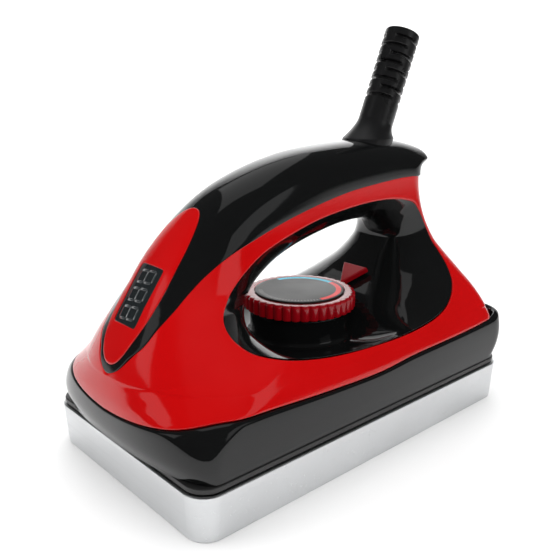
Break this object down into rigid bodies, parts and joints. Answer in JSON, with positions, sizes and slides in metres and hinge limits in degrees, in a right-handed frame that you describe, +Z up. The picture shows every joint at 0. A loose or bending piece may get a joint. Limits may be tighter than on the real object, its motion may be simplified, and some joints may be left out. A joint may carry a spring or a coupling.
{
  "type": "waxing iron",
  "caption": "Waxing iron for skis: aluminium sole, gloss red and black body with an open handle, display in the nose, temperature dial in the hand gap and a ribbed cord guard.",
  "frame": {"origin": "centre of the sole plate's underside, the face that rests on the ski", "axes": "+X to the iron's own right-hand side, +Y towards the rear, where the cord guard is, +Z up from the sole to the handle"},
  "size_m": [0.095, 0.1744, 0.1569],
  "materials": {
    "aluminium_plate": "brushed",
    "zinc_steel": "satin",
    "mica": "matte",
    "ceramic": "gloss",
    "black_flange": "matte",
    "gloss_black": "gloss",
    "gloss_red": "gloss",
    "printed_disc": "gloss",
    "smoked_pane": "gloss",
    "guard_rubber": "satin",
    "ivory_plastic": "matte",
    "circuit_board": "satin",
    "black_plastic": "matte",
    "heatsink_aluminium": "satin",
    "copper_lead": "satin"
  },
  "bodies": {
    "housing": {"sole_plate": "aluminium_plate", "heating_element": "zinc_steel", "element_clamp_plate": "zinc_steel", "clamp_screw_1": "zinc_steel", "clamp_screw_2": "zinc_steel", "clamp_screw_3": "zinc_steel", "clamp_screw_4": "zinc_steel", "heat_shield": "zinc_steel", "thermal_fuse": "zinc_steel", "base_screw_1": "zinc_steel", "base_screw_2": "zinc_steel", "base_screw_3": "zinc_steel", "base_screw_4": "zinc_steel", "potentiometer_nut": "zinc_steel", "cord_clamp_screw_1": "zinc_steel", "cord_clamp_screw_2": "zinc_steel", "insulation_sheet": "mica", "temperature_sensor": "ceramic", "base_flange": "black_flange", "base_skirt": "gloss_black", "handle_cover": "gloss_black", "grip_liner": "gloss_black", "body_shell": "gloss_red", "display_fascia": "gloss_red", "dial_pointer": "gloss_red", "display_window": "smoked_pane", "cord_guard": "guard_rubber", "cord_clamp": "ivory_plastic", "potentiometer": "ivory_plastic", "terminal_block": "ivory_plastic", "ribbon_cable": "ivory_plastic", "filter_capacitor": "ivory_plastic", "control_board": "circuit_board", "display_board": "circuit_board", "triac": "black_plastic", "display_module": "black_plastic", "triac_heatsink": "heatsink_aluminium", "element_lead_left": "copper_lead", "element_lead_right": "copper_lead"},
    "dial": {"dial_ring": "gloss_red", "dial_scale_disc": "printed_disc", "potentiometer_shaft": "zinc_steel"}
  },
  "joints": [
    {"name": "dial_turn", "type": "hinge", "parent": "housing", "child": "dial", "pos_m": [0, 0.0031, 0.05], "axis": [0, 0, 1], "range_deg": [-140, 140]}
  ]
}
